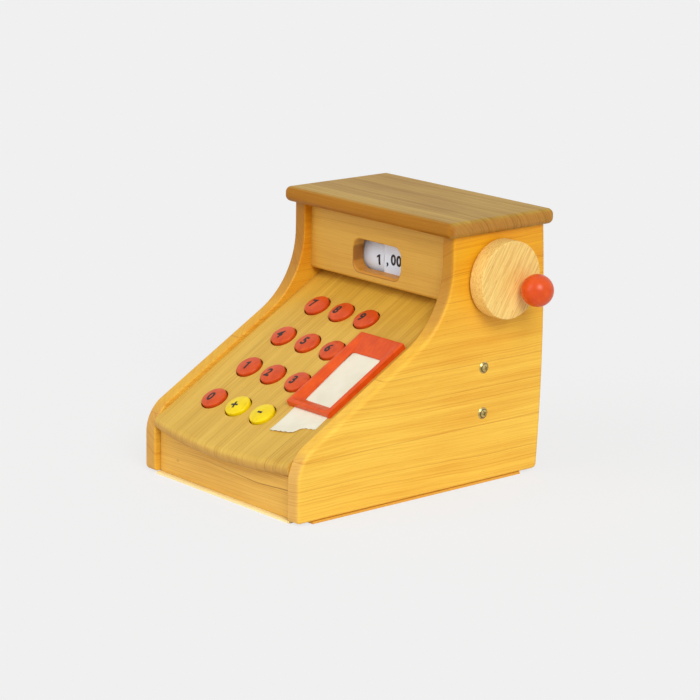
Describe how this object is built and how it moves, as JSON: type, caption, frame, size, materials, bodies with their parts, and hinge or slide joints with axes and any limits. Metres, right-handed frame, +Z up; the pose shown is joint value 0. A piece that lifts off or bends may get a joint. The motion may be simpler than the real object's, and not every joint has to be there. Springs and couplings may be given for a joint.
{
  "type": "toy cash register",
  "caption": "Wooden toy cash register with sprung number keys on a sloped board, a hand crank with ball knob, a price window, a receipt strip and a sliding drawer.",
  "frame": {"origin": "underside of the base plate, in the middle of the register's width and 120 mm behind the side panels' front edges", "axes": "+X to the right as seen from the front, front faces -Y, +Z up"},
  "size_m": [0.2323, 0.2547, 0.208],
  "materials": {
    "side_wood": "honey oiled softwood",
    "lid_wood": "oiled darker softwood",
    "panel_wood": "oiled softwood",
    "board_wood": "oiled softwood",
    "drawer_wood": "oiled softwood",
    "inner_wood": "plain planed softwood",
    "plywood": "thin light plywood",
    "beech": "clear lacquered beech",
    "red_lacquer": "red satin lacquer on wood",
    "yellow_lacquer": "yellow satin lacquer on wood",
    "paper": "white paper",
    "screw_steel": "yellow passivated steel",
    "foam": "soft foam rubber",
    "spring_steel": "bright spring steel",
    "bell_metal": "nickel plated",
    "bush_plastic": "plain nylon"
  },
  "bodies": {
    "carcass": {"axle_bush_left": "bush_plastic", "axle_bush_right": "bush_plastic", "back_panel": "inner_wood", "base_plate": "plywood", "bell_gong": "bell_metal", "bell_stud": "screw_steel", "board_cleats": "inner_wood", "crank_washer": "bush_plastic", "cross_board": "inner_wood", "drawer_kickers": "inner_wood", "drawer_stop_rail": "inner_wood", "ejector_block": "inner_wood", "ejector_leaf": "spring_steel", "key_board": "board_wood", "key_pads": "foam", "latch_leaf": "spring_steel", "latch_screws": "screw_steel", "paper_roll": "paper", "paper_strip": "paper", "price_card": "paper", "receipt_frame": "red_lacquer", "roll_hanger": "inner_wood", "roll_spindle": "beech", "side_panel_left": "side_wood", "side_panel_right": "side_wood", "side_screws": "screw_steel", "striker_block": "inner_wood", "striker_leaf": "spring_steel", "top_board": "lid_wood", "window_panel": "panel_wood"},
    "crank": {"crank_axle": "beech", "crank_disc": "beech", "knob_peg": "beech", "crank_knob": "red_lacquer", "number_drum": "inner_wood", "number_band": "paper", "trip_cam": "inner_wood", "axle_collar": "inner_wood"},
    "drawer": {"drawer_front": "drawer_wood", "drawer_side_left": "inner_wood", "drawer_side_right": "inner_wood", "drawer_back": "inner_wood", "drawer_bottom": "plywood", "note_divider": "inner_wood", "coin_dividers": "inner_wood", "drawer_catch": "screw_steel"},
    "body_key_0": {"key_0": "red_lacquer"},
    "body_key_1": {"key_1": "red_lacquer"},
    "body_key_2": {"key_2": "red_lacquer"},
    "body_key_3": {"key_3": "red_lacquer"},
    "body_key_4": {"key_4": "red_lacquer"},
    "body_key_5": {"key_5": "red_lacquer"},
    "body_key_6": {"key_6": "red_lacquer"},
    "body_key_7": {"key_7": "red_lacquer"},
    "body_key_8": {"key_8": "red_lacquer"},
    "body_key_9": {"key_9": "red_lacquer"},
    "body_key_minus": {"key_minus": "yellow_lacquer"},
    "body_key_plus": {"key_plus": "yellow_lacquer"}
  },
  "joints": [
    {"name": "crank_turn", "type": "hinge", "parent": "carcass", "child": "crank", "pos_m": [0, 0.0733, 0.1608], "axis": [1, 0, 0], "continuous": true, "deforming": ["striker_leaf", "latch_leaf"]},
    {"name": "drawer_slide", "type": "slide", "parent": "carcass", "child": "drawer", "axis": [0, -1, 0], "range_m": [0, 0.11], "deforming": ["ejector_leaf", "latch_leaf"]},
    {"name": "key_0_press", "type": "slide", "parent": "carcass", "child": "body_key_0", "axis": [0, -0.5, 0.866], "range_m": [-0.003, 0], "stiffness_N_per_m": 150, "springref_m": 0.0005, "deforming": ["key_pads"]},
    {"name": "key_1_press", "type": "slide", "parent": "carcass", "child": "body_key_1", "axis": [0, -0.5, 0.866], "range_m": [-0.003, 0], "stiffness_N_per_m": 150, "springref_m": 0.0005, "deforming": ["key_pads"]},
    {"name": "key_2_press", "type": "slide", "parent": "carcass", "child": "body_key_2", "axis": [0, -0.5, 0.866], "range_m": [-0.003, 0], "stiffness_N_per_m": 150, "springref_m": 0.0005, "deforming": ["key_pads"]},
    {"name": "key_3_press", "type": "slide", "parent": "carcass", "child": "body_key_3", "axis": [0, -0.5, 0.866], "range_m": [-0.003, 0], "stiffness_N_per_m": 150, "springref_m": 0.0005, "deforming": ["key_pads"]},
    {"name": "key_4_press", "type": "slide", "parent": "carcass", "child": "body_key_4", "axis": [0, -0.5, 0.866], "range_m": [-0.003, 0], "stiffness_N_per_m": 150, "springref_m": 0.0005, "deforming": ["key_pads"]},
    {"name": "key_5_press", "type": "slide", "parent": "carcass", "child": "body_key_5", "axis": [0, -0.5, 0.866], "range_m": [-0.003, 0], "stiffness_N_per_m": 150, "springref_m": 0.0005, "deforming": ["key_pads"]},
    {"name": "key_6_press", "type": "slide", "parent": "carcass", "child": "body_key_6", "axis": [0, -0.5, 0.866], "range_m": [-0.003, 0], "stiffness_N_per_m": 150, "springref_m": 0.0005, "deforming": ["key_pads"]},
    {"name": "key_7_press", "type": "slide", "parent": "carcass", "child": "body_key_7", "axis": [0, -0.5, 0.866], "range_m": [-0.003, 0], "stiffness_N_per_m": 150, "springref_m": 0.0005, "deforming": ["key_pads"]},
    {"name": "key_8_press", "type": "slide", "parent": "carcass", "child": "body_key_8", "axis": [0, -0.5, 0.866], "range_m": [-0.003, 0], "stiffness_N_per_m": 150, "springref_m": 0.0005, "deforming": ["key_pads"]},
    {"name": "key_9_press", "type": "slide", "parent": "carcass", "child": "body_key_9", "axis": [0, -0.5, 0.866], "range_m": [-0.003, 0], "stiffness_N_per_m": 150, "springref_m": 0.0005, "deforming": ["key_pads"]},
    {"name": "key_minus_press", "type": "slide", "parent": "carcass", "child": "body_key_minus", "axis": [0, -0.5, 0.866], "range_m": [-0.003, 0], "stiffness_N_per_m": 150, "springref_m": 0.0005, "deforming": ["key_pads"]},
    {"name": "key_plus_press", "type": "slide", "parent": "carcass", "child": "body_key_plus", "axis": [0, -0.5, 0.866], "range_m": [-0.003, 0], "stiffness_N_per_m": 150, "springref_m": 0.0005, "deforming": ["key_pads"]}
  ]
}
